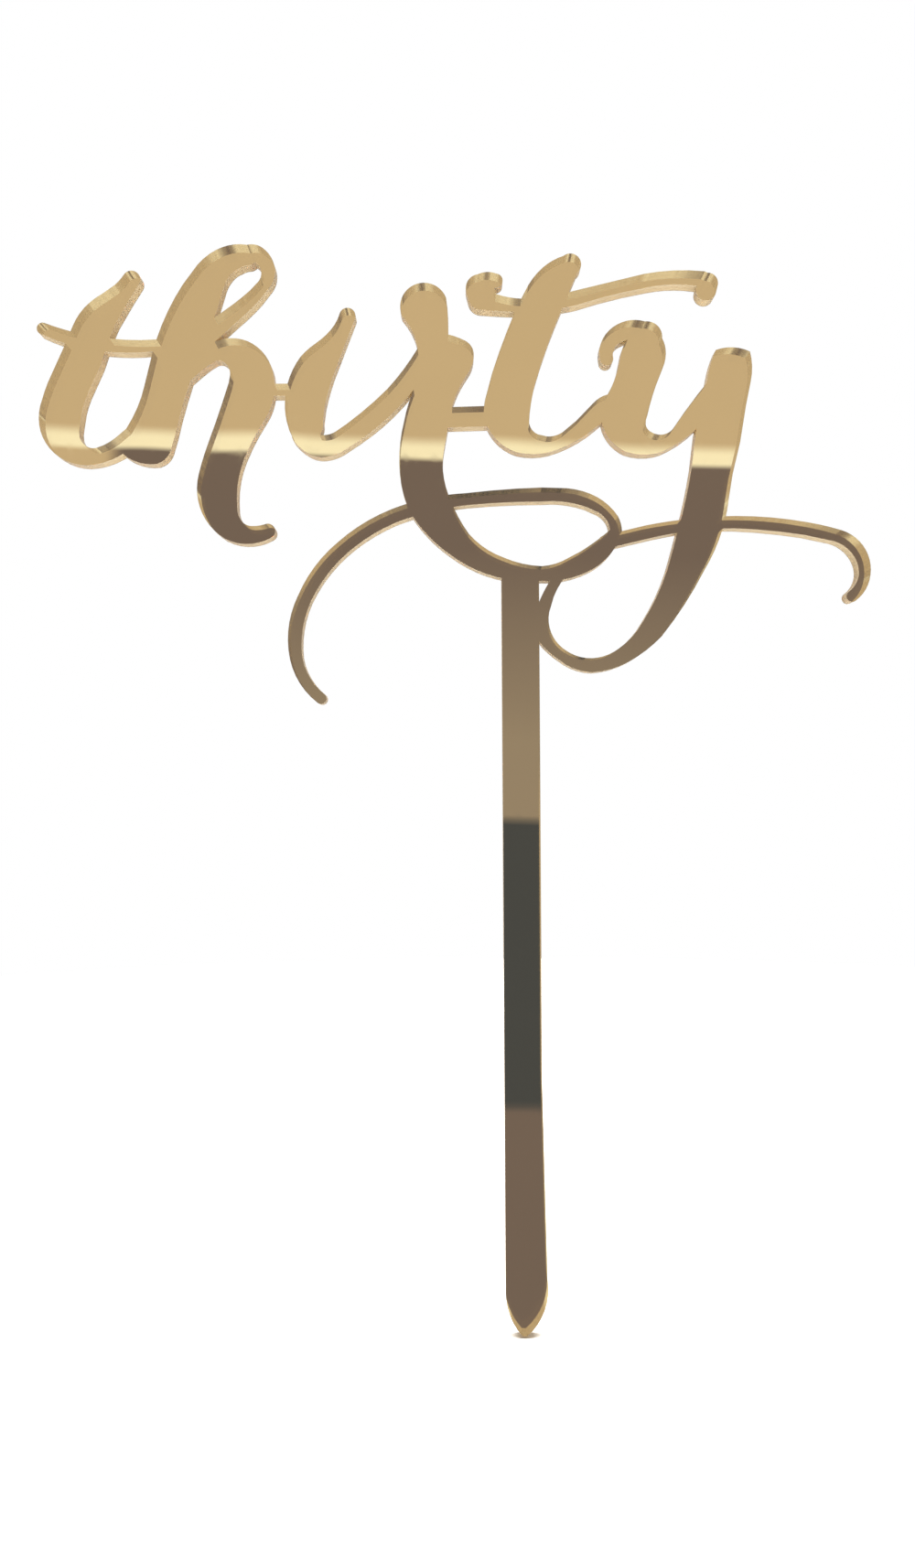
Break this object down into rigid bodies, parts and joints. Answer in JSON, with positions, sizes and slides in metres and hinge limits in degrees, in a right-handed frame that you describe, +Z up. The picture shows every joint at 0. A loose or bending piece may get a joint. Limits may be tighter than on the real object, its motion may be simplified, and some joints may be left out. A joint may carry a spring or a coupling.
{
  "type": "cake topper",
  "caption": "Script-lettered cake topper with swashes and an oval flourish on a long pointed stake, laser-cut from gold mirror acrylic.",
  "frame": {"origin": "the point of the stake, in the middle of the stack's thickness", "axes": "+X along the word as it is read, +Z up along the stake, -Y out of the bright face"},
  "size_m": [0.1394, 0.003, 0.1832],
  "materials": {
    "gold_acrylic": "polished face, glossy laser-cut edges, gold tint right through",
    "mirror_coat": "mirror",
    "backing_paint": "matt sprayed coat"
  },
  "bodies": {
    "root": {"acrylic_sheet": "gold_acrylic", "mirror_coat": "mirror_coat", "backing_paint": "backing_paint"}
  },
  "joints": []
}
